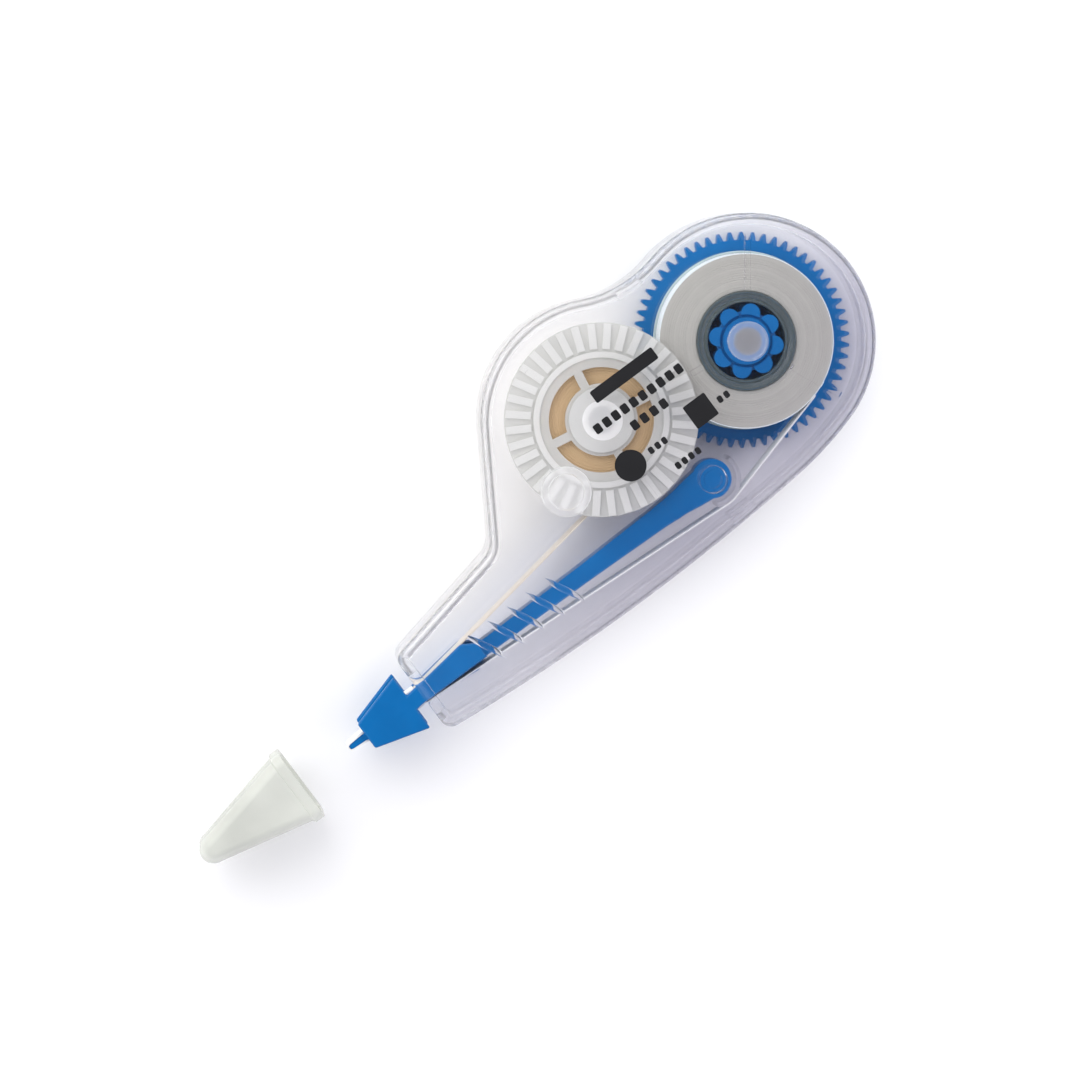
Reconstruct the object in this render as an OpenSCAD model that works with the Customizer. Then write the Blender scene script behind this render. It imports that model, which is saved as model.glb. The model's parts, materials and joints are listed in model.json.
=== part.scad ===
// Correction tape roller: clear snap-together casing, two geared reels, a floating applicator
// and a push-on cap. It lies on its back, with +Z through the casing and the nose towards -X.

/* [Casing] */
// Radius of the round end around the supply reel
supply_end_r = 14.1; // [14:0.1:15]
// Radius of the lobe around the take-up reel
lobe_r = 13.4; // [13.2:0.1:14.4]
// Total thickness from the rest face to the front face
casing_h = 12; // [12:0.1:13]
// Thickness of the casing's walls
wall = 1.2; // [1:0.05:1.3]
// Distance from the supply axis to the nose face
nose_x = 51.9; // [50.5:0.1:52.1]
// Height of the applicator's centre line below the supply axis
tip_y = 10; // [9.8:0.05:10.1]
// Number of grip ridges on the neck
ridge_count = 5; // [1:1:5]

/* [Reels] */
// Width of the correction tape
tape_w = 5; // [4.2:0.1:5]
// Outer radius of the supply roll of tape
roll_r = 9.65; // [7:0.05:10.1]
// Outer radius of the used tape on the take-up hub
used_r = 6.3; // [4.5:0.1:6.3]
// Gear module
gear_m = 0.4; // [0.4:0.05:0.4]
// Teeth on the supply gear
supply_teeth = 58; // [58:1:58]
// Teeth on the take-up gear
takeup_teeth = 33; // [33:1:33]
// Radius of the ribbed take-up flange
flange_r = 10.7; // [9:0.1:10.7]
// Number of radial ribs on the take-up flange
flange_ribs = 36; // [12:2:40]

/* [Applicator] */
// Width of the head's side plates at their widest
head_w = 6.9; // [6:0.1:6.9]
// Length of the head's side plates ahead of the casing
head_l = 6.2; // [5.5:0.1:6.4]
// Length of the bare nib ahead of the side plates
nib_l = 2.8; // [2:0.1:3]
// Outer width of the cap's mouth
cap_w = 8.6; // [8.6:0.1:9]
// Length of the cap
cap_l = 13.6; // [13.2:0.1:15]
// Gap between the nose face and the cap when it is off
cap_gap = 16.5; // [14:0.5:30]

/* [Hidden] */

round_fn = 64;
fit = 0.05;
clear = "#DDDCE6";
blue = "#0F6CBB";
white = "#ECECEA";
grey_tape = "#B8B4AA";
tan_tape = "#C9A878";
ink = "#1B1B1E";

// Heights through the casing, from the rest face up
part_z = casing_h / 2;
front_z = casing_h - wall;
gear_z = 1.6;
gear_h = 1.3;
core_z = gear_z + gear_h + 0.1;
core_flange_h = 0.5;
tape_z = core_z + core_flange_h + 0.1;
tape_top = tape_z + tape_w;
flange_z = tape_top + 0.3;
flange_h = 0.8;
rib_h = 0.3;
mid_z = tape_z + tape_w / 2;
arm_z0 = mid_z - 1.8;
arm_z1 = mid_z + 1.8;

// Places of the axes
supply_c = [0, 0];
axis_gap = gear_m * (supply_teeth + takeup_teeth) / 2;
takeup_a = 171.8;
takeup_c = axis_gap * [cos(takeup_a), sin(takeup_a)];
eye_c = [-12.05, -tip_y];
guide_c = [-25.9, -1.3];

// Axles, pins and their sockets
axle_r = 1.5;
socket_r = 2.15;
pin_r = 1.1;
eye_r = 2.2;
eye_roof = 0.6;
arc_guide_r = 3.2;
guide_post_r = 1.2;
guide_roller_r = 2.2;

// Reels
core_r = 5.55;
core_bore_r = 4.25;
hub_r = 3.6;
gear_hub_r = 2.6;
lobes = 8;
lobe_round_r = 1.05;
pinion_seat_r = 6;

// Head, tape and cap
neck_w = 1.9;
head_x = -nose_x - 1.4;
nib_w = 0.8;
nib_back = 1.5;
head_front_x = head_x - head_l;
head_front_w = 3.3;
nib_x = head_front_x - nib_l;
tail_x = -43.6;
tail_w = 4;
plate_h = 0.8;
web_w = 1.7;
tape_t = 0.2;
cap_mouth_x = -nose_x - cap_gap;
cap_wall = 0.55;
cap_tip_r = 1.4;
cap_h = 9.2;
cap_tip_h = 7.4;
cap_lip = 0.25;
lip_l = 1.2;

// ---- plane geometry -------------------------------------------------------------------------

function dir(a) = [cos(a), sin(a)];
function ang(v) = atan2(v[1], v[0]);
function arc(c, r, a0, a1, n) = [for (i = [0:n]) c + r * dir(a0 + (a1 - a0) * i / n)];

// Point at distance r1 from c1 and r2 from c2, to the left (1) or right (-1) of the line c1-c2
function meet(c1, r1, c2, r2, side) =
    let (d = norm(c2 - c1), u = (c2 - c1) / d, a = (r1 * r1 - r2 * r2 + d * d) / (2 * d))
    c1 + a * u + side * sqrt(r1 * r1 - a * a) * [-u[1], u[0]];

// ---- outline of the casing: arcs joined by their common tangents ---------------------------

waist_r = 13.4;
waist_c = meet(supply_c, supply_end_r + waist_r, takeup_c, lobe_r + waist_r, -1);
belly_r = 250;
belly_c = [-26, 233.95];
blend_r = 40;
blend_c = meet(supply_c, blend_r - supply_end_r, belly_c, belly_r - blend_r, 1);
neck_a = 11.8;
neck_nose_y = -4.8;
corner_r = 3;
corner_c = [-38.2, neck_nose_y + (nose_x - 38.2) * tan(neck_a) + corner_r / cos(neck_a)];
lobe_a = 360 + ang(corner_c - takeup_c)
    - acos((lobe_r + corner_r) / norm(corner_c - takeup_c));
nose_r = 1.4;
nose_top_c = [nose_r - nose_x, neck_nose_y + nose_r * tan(neck_a) - nose_r / cos(neck_a)];
nose_low_c = [nose_r - nose_x,
    belly_c[1] - sqrt(pow(belly_r - nose_r, 2) - pow(nose_r - nose_x - belly_c[0], 2))];
nose_low_a = ang(nose_low_c - belly_c);

// Outline moved inwards by t
function outline(t) = concat(
    arc(belly_c, belly_r - t, nose_low_a, ang(blend_c - belly_c), 10),
    arc(blend_c, blend_r - t, ang(blend_c - belly_c), ang(supply_c - blend_c), 3),
    arc(supply_c, supply_end_r - t, ang(supply_c - blend_c), ang(waist_c - supply_c), 30),
    arc(waist_c, waist_r + t, ang(supply_c - waist_c), ang(takeup_c - waist_c), 7),
    arc(takeup_c, lobe_r - t, ang(waist_c - takeup_c), lobe_a, 14),
    arc(corner_c, corner_r + t, lobe_a + 180, neck_a + 270, 5),
    arc(nose_top_c, nose_r - t, neck_a + 90, 180, 4),
    arc(nose_low_c, nose_r - t, 180, 360 + nose_low_a, 4));

module slab(t, z0, z1) {
    translate([0, 0, z0]) linear_extrude(z1 - z0) polygon(outline(t));
}

module disc(c, r, z0, z1) {
    translate([c[0], c[1], z0]) cylinder(r = r, h = z1 - z0, $fn = round_fn);
}

module ring(c, r_in, r_out, z0, z1) {
    difference() {
        disc(c, r_out, z0, z1);
        disc(c, r_in, z0 - 1, z1 + 1);
    }
}

module bar(c, a, r0, r1, w, z0, z1) {
    translate([c[0], c[1], z0]) rotate(a) translate([r0, -w / 2, 0]) cube([r1 - r0, w, z1 - z0]);
}

module strip(points, z0, z1) {
    translate([0, 0, z0]) linear_extrude(z1 - z0) polygon(points);
}

// ---- casing ----------------------------------------------------------------------------------

edge_steps = [[0.7, 0.3], [0.25, 0.7]];
lap_h = 0.9;
lap_t = 0.6;
slot_w = 5.2;
slot_z0 = 2.4;
slot_z1 = 9.8;
// Inner face of the wall at each snap tab
snap_places = [[-7.1, 12.15], [-11.5, -14.43]];

module snap(grow, z0, z1) {
    for (s = snap_places)
        translate([s[0] - 1.5 - grow, s[1] - 0.3 - grow, z0])
            cube([3 + 2 * grow, 0.6 + 2 * grow, z1 - z0]);
}

// Opening in the nose that the head's neck passes through
module nose_slot() {
    translate([-nose_x - 1, -tip_y - slot_w / 2, slot_z0])
        cube([wall + 2, slot_w, slot_z1 - slot_z0]);
}

module back_shell() color(clear, 0.35) {
    difference() {
        union() {
            slab(edge_steps[0][0], 0, edge_steps[0][1]);
            slab(edge_steps[1][0], edge_steps[0][1], edge_steps[1][1]);
            slab(0, edge_steps[1][1], part_z);
            slab(lap_t + fit, part_z, part_z + lap_h);
        }
        slab(wall, wall, part_z + 2);
        nose_slot();
        snap(0.1, part_z - 1.2, part_z + 2);
    }
    for (c = [supply_c, takeup_c]) {
        disc(c, gear_hub_r, wall - 0.01, gear_z - fit);
        disc(c, axle_r, wall - 0.01, front_z - 0.3);
    }
    disc(guide_c, guide_post_r, wall - 0.01, tape_top);
    disc(guide_c, guide_post_r + 0.4, core_z + 0.02, tape_z - fit);
    disc(eye_c, eye_r - 0.2, wall - 0.01, arm_z0 - fit);
    disc(eye_c, pin_r, wall - 0.01, arm_z1 - eye_roof - fit);
    intersection() {
        ring(eye_c, arc_guide_r - 0.5, arc_guide_r, wall - 0.01, tape_top);
        bar(eye_c, -50, 1.2, arc_guide_r + 1, 2 * arc_guide_r + 2, wall - 0.01, tape_top);
    }
}

module front_shell() color(clear, 0.35) {
    difference() {
        union() {
            slab(edge_steps[0][0], casing_h - edge_steps[0][1], casing_h);
            slab(edge_steps[1][0], casing_h - edge_steps[1][1], casing_h - edge_steps[0][1]);
            slab(0, part_z, casing_h - edge_steps[1][1]);
        }
        slab(wall, part_z - 1, front_z);
        slab(lap_t, part_z - 1, part_z + lap_h + fit);
        nose_slot();
    }
    snap(0, part_z - 1.1, front_z + 0.1);
    ring(supply_c, axle_r + fit, socket_r, flange_z + 0.1, front_z + 0.01);
    ring(takeup_c, axle_r + fit, socket_r, flange_z + flange_h + 0.1, front_z + 0.01);
    ring(eye_c, pin_r - 0.1, eye_r - 0.6, arm_z1 + fit, front_z + 0.01);
    for (a = [53.5, -66.5]) bar(supply_c, a, core_r + 0.1, 11.8, 0.6, flange_z + 0.1, front_z + 0.01);
    bar(supply_c, 173.5, core_r + 0.1, 7.2, 0.6, flange_z + 0.1, front_z + 0.01);
    for (r = [[111.5, 7.2, 9.9], [-88.5, 7.7, 17]])
        bar(takeup_c, r[0], r[1], r[2], 0.6, flange_z + flange_h + rib_h + 0.15, front_z + 0.01);
    ring(guide_c, 1.9, 2.8, casing_h - 0.01, casing_h + 0.25);
    for (i = [0:ridge_count - 1])
        bar([-33.5 - 2.63 * i, -7.6], -63.5, 0, 5, 0.9, casing_h - 0.01, casing_h + 0.4);
}

// ---- gears -----------------------------------------------------------------------------------

pressure_a = 20;
backlash = 0.05;

function inv(a) = tan(a) * 180 / PI - a;
// Half angle of a tooth at radius r, for a gear of z teeth
function tooth_half(z, r) =
    let (base_r = gear_m * z / 2 * cos(pressure_a))
    90 / z + inv(pressure_a) - inv(acos(min(1, base_r / r)))
    - backlash / (gear_m * z / 2) * 90 / PI;

function gear_points(z, phase) =
    let (pitch_r = gear_m * z / 2, root_r = pitch_r - 1.25 * gear_m, tip_r = pitch_r + gear_m,
        base_r = pitch_r * cos(pressure_a), low_r = max(root_r + 0.02, base_r + 0.01),
        radii = [low_r, pitch_r, tip_r])
    [for (i = [0:z - 1]) let (a = phase + 360 * i / z) each concat(
        [root_r * dir(a - tooth_half(z, low_r) - 0.1)],
        [for (r = radii) r * dir(a - tooth_half(z, r))],
        [for (k = [2:-1:0]) radii[k] * dir(a + tooth_half(z, radii[k]))],
        [root_r * dir(a + tooth_half(z, low_r) + 0.1)])];

module gear(c, z, phase) {
    translate([c[0], c[1], gear_z]) linear_extrude(gear_h) polygon(gear_points(z, phase));
}

module supply_gear() color(blue) {
    difference() {
        union() {
            gear(supply_c, supply_teeth, takeup_a);
            disc(supply_c, gear_hub_r, gear_z, flange_z);
        }
        disc(supply_c, axle_r + fit, 0, casing_h);
    }
}

module takeup_gear() color(white) {
    difference() {
        union() {
            gear(takeup_c, takeup_teeth, takeup_a + 180 + 180 / takeup_teeth);
            disc(takeup_c, pinion_seat_r, gear_z + gear_h - 0.01, tape_z - 0.1);
            disc(takeup_c, used_r + 0.6, gear_z + gear_h + fit, tape_z - 0.1);
            disc(takeup_c, hub_r, gear_z, flange_z);
            disc(takeup_c, gear_hub_r, gear_z, flange_z + flange_h / 2);
        }
        disc(takeup_c, axle_r + fit, 0, casing_h);
    }
}

// ---- reels -----------------------------------------------------------------------------------

// Eight springy lobes that rub on the inside of the supply core and let it slip
module clutch_hub() color(blue) {
    lobe_tip_r = core_bore_r - 0.1;
    difference() {
        union() {
            disc(supply_c, gear_hub_r + 0.7, core_z + 0.1, flange_z - 0.2);
            for (i = [0:lobes - 1])
                disc((lobe_tip_r - lobe_round_r) * dir(360 * i / lobes), lobe_round_r,
                    core_z + 0.1, flange_z - 0.2);
        }
        disc(supply_c, gear_hub_r, 0, casing_h);
    }
}

module supply_core() color(clear, 0.5) {
    difference() {
        union() {
            disc(supply_c, roll_r + 0.25, core_z, core_z + core_flange_h);
            disc(supply_c, core_r, core_z, flange_z);
        }
        disc(supply_c, core_bore_r, 0, casing_h);
    }
}

module correction_tape_roll() color(grey_tape) {
    ring(supply_c, core_r, roll_r, tape_z, tape_top);
}

module takeup_flange() color(white) {
    difference() {
        union() {
            disc(takeup_c, flange_r, flange_z, flange_z + flange_h - rib_h);
            disc(takeup_c, hub_r, flange_z, flange_z + flange_h);
            ring(takeup_c, 6.85, 7.5, flange_z, flange_z + flange_h);
            for (i = [0:flange_ribs - 1])
                bar(takeup_c, 360 * i / flange_ribs, 7.8, flange_r - 0.1, 0.85,
                    flange_z + 0.1, flange_z + flange_h);
        }
        disc(takeup_c, gear_hub_r, 0, flange_z + flange_h / 2);
        disc(takeup_c, axle_r + fit, 0, casing_h);
        for (i = [0:3])
            intersection() {
                ring(takeup_c, hub_r + 0.4, 5.8, 0, casing_h);
                translate([takeup_c[0], takeup_c[1], 0]) rotate(90 * i - 9.5)
                    translate([0.5, 0.5, 0]) cube([9, 9, casing_h]);
            }
    }
}

module used_tape_roll() color(tan_tape) {
    ring(takeup_c, hub_r, used_r, tape_z, tape_top);
}

module guide_roller() color(clear, 0.6) {
    ring(guide_c, guide_post_r + fit, guide_roller_r, tape_z, tape_top - 0.1);
}

// ---- applicator ------------------------------------------------------------------------------

socket_l = 3;
// Edge of the arm from its eye to its peg: x and half width
arm_edge = [[eye_c[0] - 0.9, 1.9], [-14.5, 1.75], [-16.5, 1.45], [-19.5, 1.25], [-26, 1.08],
    [-30, 0.98], [tail_x, 0.85]];

// Peg of the arm, t smaller than the head's socket, running on by back
module peg(t, back) {
    translate([tail_x - socket_l + t, t - tip_y - 0.4, mid_z - 1 + t])
        cube([socket_l - t + back, 0.8 - 2 * t, 2 - 2 * t]);
}

module applicator_arm() color(blue) {
    difference() {
        union() {
            disc(eye_c, eye_r, arm_z0, arm_z1);
            strip(mirrored(arm_edge), arm_z0, arm_z1);
            peg(0.02, 0.01);
        }
        disc(eye_c, pin_r + fit, 0, arm_z1 - eye_roof);
    }
}

// Outline of the head's side plates: tail inside the casing, neck in the slot, wedge outside
head_plate = [[tail_x, tail_w / 2 - 1], [tail_x - 1.6, tail_w / 2], [head_x, neck_w / 2],
    [head_x, head_w / 2], [head_front_x, head_front_w / 2]];
// Edge of the web between the plates, which the tape runs along, down to the nib
web_edge = [[tail_x, web_w / 2], [head_front_x + nib_back, web_w / 2],
    [head_front_x, nib_w / 2], [nib_x + 0.3, nib_w / 2 - 0.15]];
function mirrored(points) = concat(
    [for (p = points) [p[0], p[1] - tip_y]],
    [for (i = [len(points) - 1:-1:0]) [points[i][0], -points[i][1] - tip_y]]);

module applicator_head() color(blue) {
    difference() {
        union() {
            strip(mirrored(head_plate), tape_z - plate_h - 0.1, tape_z - 0.1);
            strip(mirrored(head_plate), tape_top + 0.1, tape_top + plate_h + 0.1);
            strip(mirrored(web_edge), tape_z - 0.11, tape_top + 0.11);
        }
        peg(0, 1);
    }
}

// ---- tape in use -----------------------------------------------------------------------------

// Ribbon of tape along a list of points, as thick as tape_t, with its left side on the points
function side_point(p, i, t) =
    let (a = p[max(i - 1, 0)], b = p[min(i + 1, len(p) - 1)], u = (b - a) / norm(b - a))
    p[i] + t * [-u[1], u[0]];
module ribbon(p) {
    strip(concat(p, [for (i = [len(p) - 1:-1:0]) side_point(p, i, -tape_t)]), tape_z, tape_top);
}

// Inner face of the feed tape: off the roll, round the arc guide and on to the head's neck
guide_in_r = arc_guide_r + 0.02;
feed_n = ang(eye_c - supply_c)
    + acos((roll_r + 0.02 - guide_in_r) / norm(eye_c - supply_c));
head_low = [head_x + 1, -tip_y - web_w / 2 - 0.02];
feed_out = ang(head_low - eye_c)
    + acos(guide_in_r / norm(head_low - eye_c));
tip_run = [[head_x + 1, web_w / 2 + 0.02], [head_front_x + nib_back, web_w / 2 + 0.02],
    [head_front_x, nib_w / 2 + 0.02], [nib_x + 0.28, nib_w / 2 - 0.13]];
tip_last = len(tip_run) - 1;

module feed_tape() color(tan_tape) {
    ribbon(concat(
        [[head_low[0], head_low[1]]],
        arc(eye_c, guide_in_r, feed_out, feed_n, 6),
        [supply_c + (roll_r + 0.02) * dir(feed_n)]));
}

// White tape round the nib, open at the back
function past_head(p) = p[0] < head_front_x ? tape_t : 0;
module tip_tape() color(white) {
    strip(concat(
        [for (p = tip_run) [p[0], p[1] - tip_y]],
        [for (i = [tip_last:-1:0]) [tip_run[i][0], -tip_run[i][1] - tip_y]],
        [for (p = tip_run) [p[0] - past_head(p), -p[1] - tape_t - tip_y]],
        [for (i = [tip_last:-1:0]) [tip_run[i][0] - past_head(tip_run[i]),
            tip_run[i][1] + tape_t - tip_y]]), tape_z, tape_top);
}

return_from = [head_x + 1, -tip_y + web_w / 2 + 0.02 + tape_t];
return_n = ang(takeup_c - return_from) - 90 - asin((used_r + 0.02) / norm(takeup_c - return_from));

module return_tape() color(tan_tape) {
    ribbon([return_from, takeup_c + (used_r + 0.02) * dir(return_n)]);
}

// ---- cap -------------------------------------------------------------------------------------

// Side outline of the cap seen from the front, t inside its outer face
function cap_front(t) = concat([[0, cap_w / 2 - cap_lip - t]],
    [for (a = [75:-15:-75]) [cap_tip_r - cap_l, 0] + (cap_tip_r - t) * [-cos(a), sin(a)]],
    [[0, t + cap_lip - cap_w / 2]]);
// The same seen from the side
function cap_edge(t) = [[0, cap_h / 2 - cap_lip - t], [0, t + cap_lip - cap_h / 2],
    [t - cap_l, t - cap_tip_h / 2], [t - cap_l, cap_tip_h / 2 - t]];

module cap_body(t) {
    translate([cap_mouth_x, -tip_y, mid_z]) intersection() {
        translate([0, 0, -cap_h]) linear_extrude(2 * cap_h) polygon(cap_front(t));
        rotate([90, 0, 0]) translate([0, 0, -cap_w]) linear_extrude(2 * cap_w)
            polygon(cap_edge(t));
    }
}

module cap_band(t, l) {
    translate([cap_mouth_x - lip_l, t - tip_y - cap_w / 2, mid_z + t - cap_h / 2])
        cube([l, cap_w - 2 * t, cap_h - 2 * t]);
}

module cap() color(clear, 0.4) {
    difference() {
        union() {
            cap_body(0);
            cap_band(0, lip_l);
        }
        cap_body(cap_wall);
        cap_band(0.7, lip_l + 1);
    }
}

// ---- plain printed marks on the front ------------------------------------------------------

print_t = 0.1;
mark_h = 1.1;
// Rows of plain dashes: start X, Y, number, length, height and pitch of the dashes
dash_rows = [[-17.4, 5.2, 1, 8.4, 1.5, 9], [-19.4, 2.2, 10, 0.85, mark_h, 1.22],
    [-15.9, 0.1, 4, 0.85, mark_h, 1.3], [-16, -3.2, 3, 0.6, 0.8, 0.9],
    [-6.6, -3.2, 2, 0.6, 0.8, 0.9], [-14.6, -6.3, 4, 0.6, 0.8, 0.9]];

module printed_marks() color(ink) {
    for (row = dash_rows, i = [0:row[2] - 1])
        translate([row[0] + i * row[5], row[1] - row[4] / 2, casing_h]) cube([row[3], row[4], print_t]);
    disc([-18.5, -3.2], 1.75, casing_h, casing_h + print_t);
    translate([-10.2, -4.4, casing_h]) cube([2.9, 2.9, print_t]);
}

back_shell();
front_shell();
supply_gear();
clutch_hub();
supply_core();
correction_tape_roll();
takeup_gear();
takeup_flange();
used_tape_roll();
guide_roller();
applicator_arm();
applicator_head();
tip_tape();
feed_tape();
return_tape();
cap();
printed_marks();
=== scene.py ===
"""Looks of the correction tape roller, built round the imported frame."""

import json
import math

import bmesh
import bpy
from mathutils import Matrix, Vector


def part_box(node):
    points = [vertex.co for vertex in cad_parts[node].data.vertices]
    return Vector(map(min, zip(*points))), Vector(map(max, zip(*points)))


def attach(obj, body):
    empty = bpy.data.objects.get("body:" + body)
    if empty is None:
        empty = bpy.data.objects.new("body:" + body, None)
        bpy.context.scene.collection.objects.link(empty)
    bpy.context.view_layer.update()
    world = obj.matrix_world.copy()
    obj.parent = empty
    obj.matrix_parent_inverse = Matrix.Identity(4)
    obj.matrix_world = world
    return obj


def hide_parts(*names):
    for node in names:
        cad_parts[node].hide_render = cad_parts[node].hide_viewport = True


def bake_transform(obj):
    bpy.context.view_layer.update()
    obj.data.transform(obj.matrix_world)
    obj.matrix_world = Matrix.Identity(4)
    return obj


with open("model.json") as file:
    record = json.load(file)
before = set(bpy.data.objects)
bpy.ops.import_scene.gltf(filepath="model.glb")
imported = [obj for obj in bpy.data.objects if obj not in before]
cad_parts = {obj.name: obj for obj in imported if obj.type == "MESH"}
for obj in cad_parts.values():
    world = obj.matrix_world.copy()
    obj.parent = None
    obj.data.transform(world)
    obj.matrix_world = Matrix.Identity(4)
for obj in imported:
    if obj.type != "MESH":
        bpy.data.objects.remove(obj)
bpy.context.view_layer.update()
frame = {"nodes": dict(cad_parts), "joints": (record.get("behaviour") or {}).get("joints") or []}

# ---- measures, in millimetres, read from the frame where it gives them -----------------------

MM = 0.001


def box_mm(node):
    """The lowest and highest corner of a CAD node, in millimetres."""
    low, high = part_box(node)
    return [v / MM for v in low], [v / MM for v in high]


def joint_mm(name):
    """Where a joint's upright axis stands, in millimetres."""
    joint = next(j for j in frame["joints"] if j["name"] == name)
    return Vector([v / MM for v in joint["pos_m"]][:2])


SUPPLY = joint_mm("supply_spin")
TAKEUP = joint_mm("takeup_spin")
GUIDE = joint_mm("guide_spin")
EYE = joint_mm("head_rock")
AXIS_Y = EYE.y

CASE_H = 12.0
PART_Z = CASE_H / 2
WALL = 1.2
SUPPLY_END_R = 14.1
LOBE_R = 13.4
NOSE_X = -box_mm("front_shell")[0][0]
FRONT_IN_Z = CASE_H - WALL

TAPE_Z0 = box_mm("correction_tape_roll")[0][2]
TAPE_Z1 = box_mm("correction_tape_roll")[1][2]
ROLL_R = box_mm("correction_tape_roll")[1][0]
USED_R = box_mm("used_tape_roll")[1][0] - TAKEUP.x
FLANGE_Z0 = box_mm("takeup_flange")[0][2]
FLANGE_Z1 = box_mm("takeup_flange")[1][2]
CORE_Z0 = box_mm("supply_core")[0][2]
CORE_Z1 = box_mm("supply_core")[1][2]
MID_Z = (TAPE_Z0 + TAPE_Z1) / 2
ARM_Z0 = box_mm("applicator_arm")[0][2]
ARM_Z1 = box_mm("applicator_arm")[1][2]


# ---- plane geometry --------------------------------------------------------------------------


def direction(degrees):
    a = math.radians(degrees)
    return Vector((math.cos(a), math.sin(a)))


def angle(v):
    return math.degrees(math.atan2(v.y, v.x))


def arc(centre, r, a0, a1, steps):
    return [centre + r * direction(a0 + (a1 - a0) * i / steps) for i in range(steps + 1)]


def circle(centre, r, steps=72):
    return [centre + r * direction(360 * i / steps) for i in range(steps)]


def meet(c1, r1, c2, r2, side):
    """Point at distance r1 from c1 and r2 from c2, left (1) or right (-1) of the line c1-c2."""
    d = (c2 - c1).length
    u = (c2 - c1) / d
    a = (r1 * r1 - r2 * r2 + d * d) / (2 * d)
    return c1 + a * u + side * math.sqrt(r1 * r1 - a * a) * Vector((-u.y, u.x))


# ---- the casing's outline: arcs joined by their common tangents -----------------------------

WAIST_R = 13.4
WAIST = meet(SUPPLY, SUPPLY_END_R + WAIST_R, TAKEUP, LOBE_R + WAIST_R, -1)
BELLY_R, BLEND_R = 250.0, 40.0
BELLY = Vector((-26.0, 233.95))
BLEND = meet(SUPPLY, BLEND_R - SUPPLY_END_R, BELLY, BELLY_R - BLEND_R, 1)
NECK_A = 11.8
NECK_TAN, NECK_COS = math.tan(math.radians(NECK_A)), math.cos(math.radians(NECK_A))
NECK_NOSE_Y = -4.8
CORNER_R, NOSE_R = 3.0, 1.4
CORNER = Vector((-38.2, NECK_NOSE_Y + (NOSE_X - 38.2) * NECK_TAN + CORNER_R / NECK_COS))
LOBE_A = (
    360
    + angle(CORNER - TAKEUP)
    - math.degrees(math.acos((LOBE_R + CORNER_R) / (CORNER - TAKEUP).length))
)
NOSE_TOP = Vector((NOSE_R - NOSE_X, NECK_NOSE_Y + NOSE_R * NECK_TAN - NOSE_R / NECK_COS))
NOSE_LOW = Vector((NOSE_R - NOSE_X, 0))
NOSE_LOW.y = BELLY.y - math.sqrt((BELLY_R - NOSE_R) ** 2 - (NOSE_LOW.x - BELLY.x) ** 2)
NOSE_LOW_A = angle(NOSE_LOW - BELLY)


def outline(t):
    """The casing's outline moved inwards by t."""
    return (
        arc(BELLY, BELLY_R - t, NOSE_LOW_A, angle(BLEND - BELLY), 24)
        + arc(BLEND, BLEND_R - t, angle(BLEND - BELLY), angle(SUPPLY - BLEND), 8)[1:]
        + arc(SUPPLY, SUPPLY_END_R - t, angle(SUPPLY - BLEND), angle(WAIST - SUPPLY), 90)[1:]
        + arc(WAIST, WAIST_R + t, angle(SUPPLY - WAIST), angle(TAKEUP - WAIST), 20)[1:]
        + arc(TAKEUP, LOBE_R - t, angle(WAIST - TAKEUP), LOBE_A, 44)[1:]
        + arc(CORNER, CORNER_R + t, LOBE_A + 180, NECK_A + 270, 12)
        + arc(NOSE_TOP, NOSE_R - t, NECK_A + 90, 180, 8)
        + arc(NOSE_LOW, NOSE_R - t, 180, 360 + NOSE_LOW_A, 8)[:-1]
    )


# ---- mesh tools ------------------------------------------------------------------------------


def new_object(name, mesh):
    obj = bpy.data.objects.new(name, mesh)
    bpy.context.scene.collection.objects.link(obj)
    return obj


def mesh_object(name, points, faces):
    """A closed mesh from points in millimetres, its normals turned outwards."""
    mesh = bpy.data.meshes.new(name)
    mesh.from_pydata([[v * MM for v in p] for p in points], [], faces)
    bm = bmesh.new()
    bm.from_mesh(mesh)
    bmesh.ops.remove_doubles(bm, verts=bm.verts, dist=1e-7)
    bmesh.ops.recalc_face_normals(bm, faces=bm.faces)
    bm.to_mesh(mesh)
    bm.free()
    return new_object(name, mesh)


def loft(name, rings):
    """Skin over rings of as many points each, closed at both ends."""
    n = len(rings[0])
    points = [p for ring in rings for p in ring]
    faces = [list(range(n))[::-1], [(len(rings) - 1) * n + i for i in range(n)]]
    for k in range(len(rings) - 1):
        for i in range(n):
            j = (i + 1) % n
            faces.append([k * n + i, k * n + j, (k + 1) * n + j, (k + 1) * n + i])
    return mesh_object(name, points, faces)


def prism(name, points, z0, z1):
    return loft(name, [[(p[0], p[1], z) for p in points] for z in (z0, z1)])


def disc(name, centre, r, z0, z1, steps=72):
    return prism(name, circle(centre, r, steps), z0, z1)


def lathe(name, centre, profile, steps=128):
    """A ring: a closed profile of (radius, z) turned round the vertical axis at centre."""
    points, faces, n = [], [], len(profile)
    for i in range(steps):
        u = direction(360 * i / steps)
        points += [(centre.x + r * u.x, centre.y + r * u.y, z) for r, z in profile]
    for i in range(steps):
        a, b = i * n, (i + 1) % steps * n
        faces += [[a + k, b + k, b + (k + 1) % n, a + (k + 1) % n] for k in range(n)]
    return mesh_object(name, points, faces)


def bar(name, centre, degrees, r0, r1, w, z0, z1):
    """A straight bar of width w that runs out from centre, from r0 to r1."""
    u = direction(degrees)
    v = Vector((-u.y, u.x)) * w / 2
    return prism(name, [centre + r0 * u - v, centre + r1 * u - v, centre + r1 * u + v,
                        centre + r0 * u + v], z0, z1)


def block(name, low, high):
    corners = [(low[0], low[1]), (high[0], low[1]), (high[0], high[1]), (low[0], high[1])]
    return prism(name, corners, low[2], high[2])


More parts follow.
